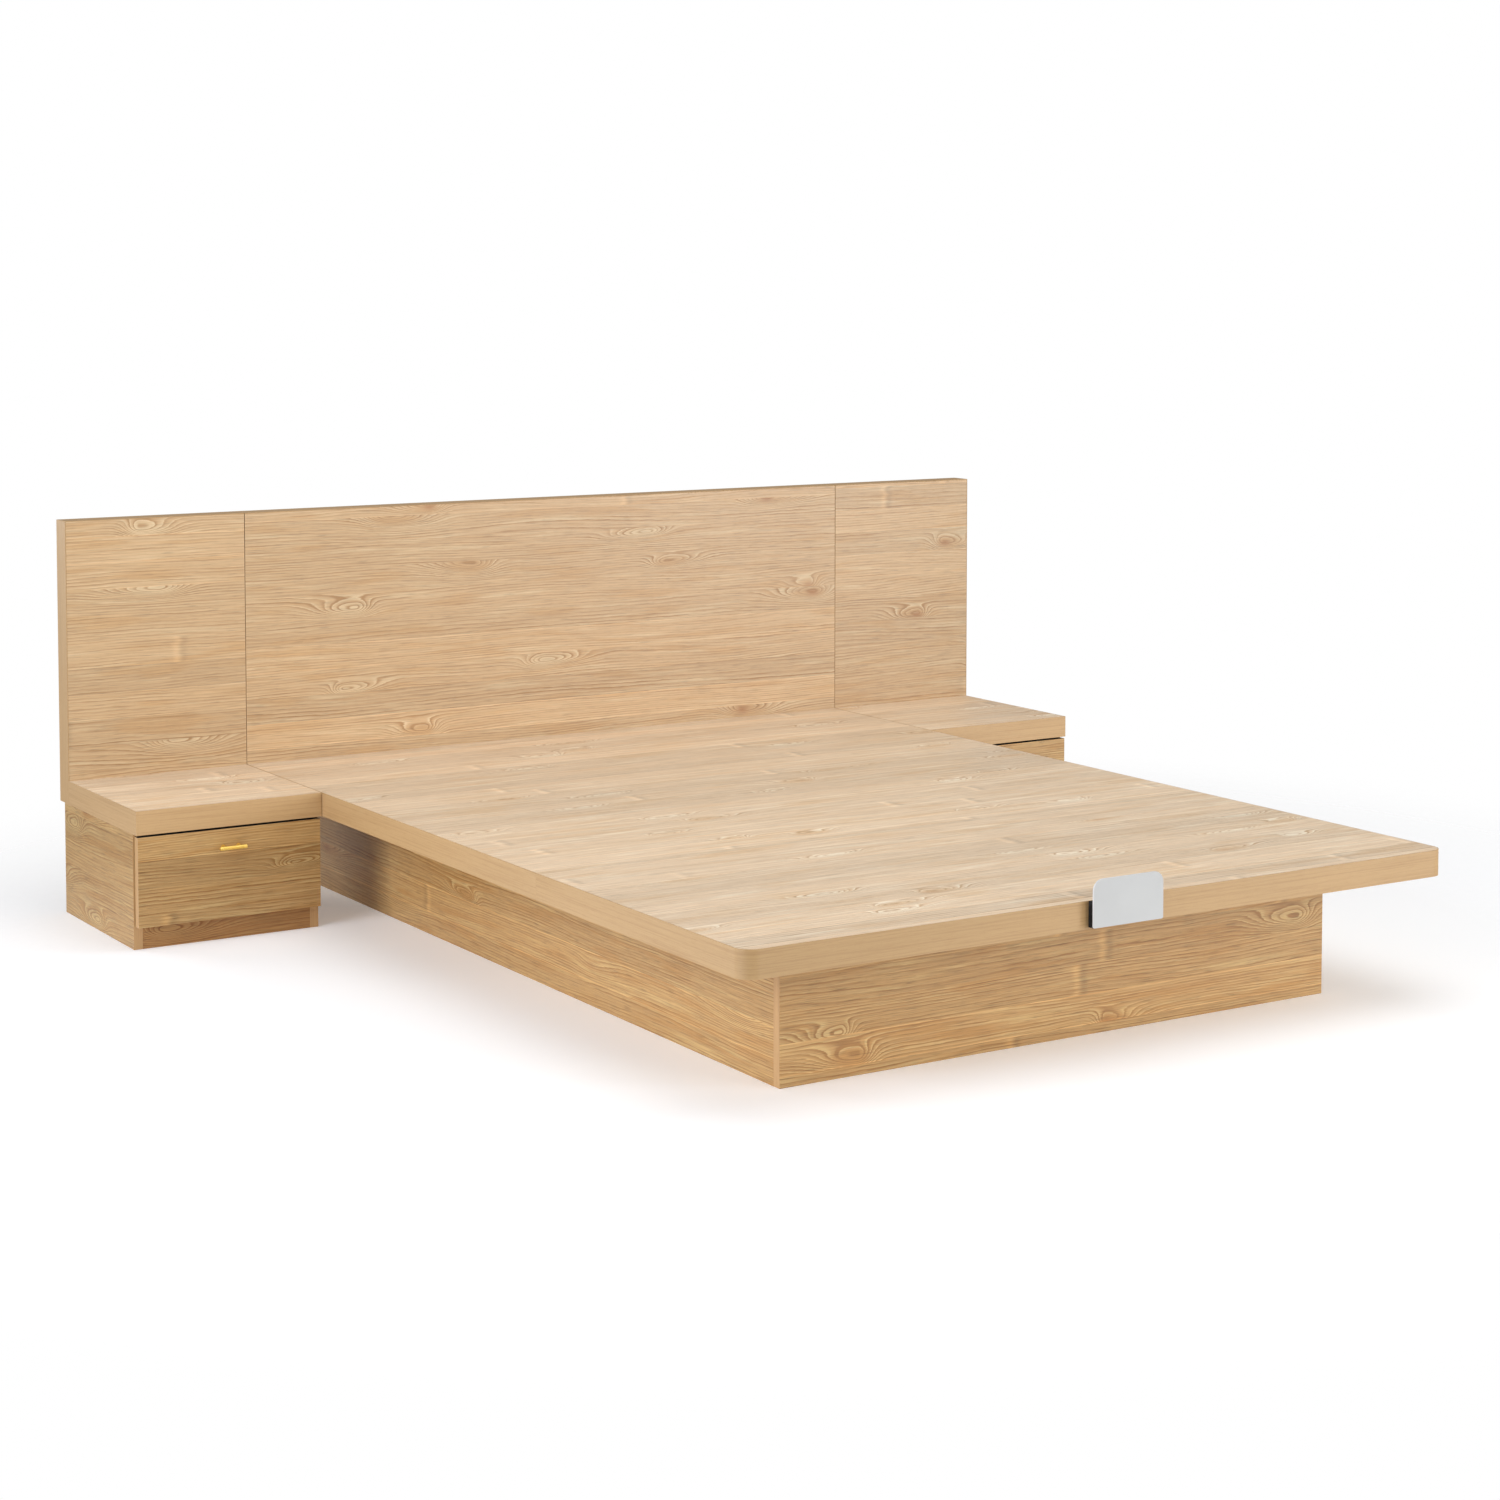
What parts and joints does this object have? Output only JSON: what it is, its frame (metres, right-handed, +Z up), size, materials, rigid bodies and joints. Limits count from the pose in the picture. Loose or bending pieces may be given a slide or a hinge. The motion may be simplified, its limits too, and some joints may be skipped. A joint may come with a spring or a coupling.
{
  "type": "platform bed with storage drawers",
  "caption": "Low platform bed: panelled headboard, thick overhanging deck on a recessed plinth, mattress stop, and a nightstand with a sliding drawer on each side.",
  "frame": {"origin": "on the floor, at the centre of the whole bed's bounding box", "axes": "+X across the bed, from the left to the right nightstand as seen from the foot; +Y towards the headboard; +Z up"},
  "size_m": [2.28, 2.0686, 0.812],
  "materials": {
    "oak_top": "laminate, light oak, satin",
    "oak_face": "laminate, light oak, satin",
    "oak_edge": "edging strip, fine straight oak grain, satin",
    "oak_low": "laminate, oak, satin",
    "raw_board": "particle board, plain facing, matte",
    "pine": "planed softwood, matte",
    "brass": "satin brass",
    "steel": "zinc plated",
    "plate_grey": "light grey powder coat, satin",
    "black": "matte black rubber"
  },
  "bodies": {
    "root": {"deck_head_board": "oak_top", "deck_foot_board": "oak_top", "deck_head_battens": "pine", "deck_foot_battens": "pine", "deck_head_edging": "oak_edge", "deck_foot_edging": "oak_edge", "deck_joining_plates": "steel", "plinth_side_left": "oak_low", "plinth_side_right": "oak_low", "plinth_foot_board": "oak_low", "plinth_head_board": "oak_low", "plinth_centre_beam": "raw_board", "plinth_cross_ribs": "raw_board", "angle_brackets": "steel", "wood_screws": "steel", "drawer_bumpers": "black", "mattress_stop_plate": "plate_grey", "mattress_stop_spacer": "black", "mattress_stop_bolts": "steel", "headboard_left_face": "oak_face", "headboard_centre_face": "oak_face", "headboard_right_face": "oak_face", "headboard_battens": "pine", "headboard_back_boards": "oak_face", "headboard_edging": "oak_edge", "headboard_dowels": "pine", "left_top_board": "oak_top", "left_top_battens": "pine", "left_top_edging": "oak_edge", "left_side_outer": "oak_low", "left_side_inner": "oak_low", "left_back_panel": "raw_board", "left_bottom_panel": "raw_board", "left_kick_board": "oak_low", "left_cabinet_slides": "steel", "right_top_board": "oak_top", "right_top_battens": "pine", "right_top_edging": "oak_edge", "right_side_outer": "oak_low", "right_side_inner": "oak_low", "right_back_panel": "raw_board", "right_bottom_panel": "raw_board", "right_kick_board": "oak_low", "right_cabinet_slides": "steel"},
    "left_drawer": {"left_drawer_front": "oak_low", "left_drawer_sides": "pine", "left_drawer_ends": "pine", "left_drawer_bottom": "raw_board", "left_drawer_slides": "steel", "left_handle": "brass", "left_drawer_screws": "steel"},
    "left_slide_middles": {"left_middle_slides": "steel"},
    "right_drawer": {"right_drawer_front": "oak_low", "right_drawer_sides": "pine", "right_drawer_ends": "pine", "right_drawer_bottom": "raw_board", "right_drawer_slides": "steel", "right_handle": "brass", "right_drawer_screws": "steel"},
    "right_slide_middles": {"right_middle_slides": "steel"}
  },
  "joints": [
    {"name": "left_drawer_slide", "type": "slide", "parent": "root", "child": "left_drawer", "axis": [0, -1, 0], "range_m": [0, 0.28]},
    {"name": "left_middle_slide", "type": "slide", "parent": "root", "child": "left_slide_middles", "axis": [0, -1, 0], "range_m": [0, 0.14]},
    {"name": "right_drawer_slide", "type": "slide", "parent": "root", "child": "right_drawer", "axis": [0, -1, 0], "range_m": [0, 0.28]},
    {"name": "right_middle_slide", "type": "slide", "parent": "root", "child": "right_slide_middles", "axis": [0, -1, 0], "range_m": [0, 0.14]}
  ],
  "couplings": [
    {"joint": "left_middle_slide", "follows": "left_drawer_slide", "ratio": 0.5},
    {"joint": "right_middle_slide", "follows": "right_drawer_slide", "ratio": 0.5}
  ]
}
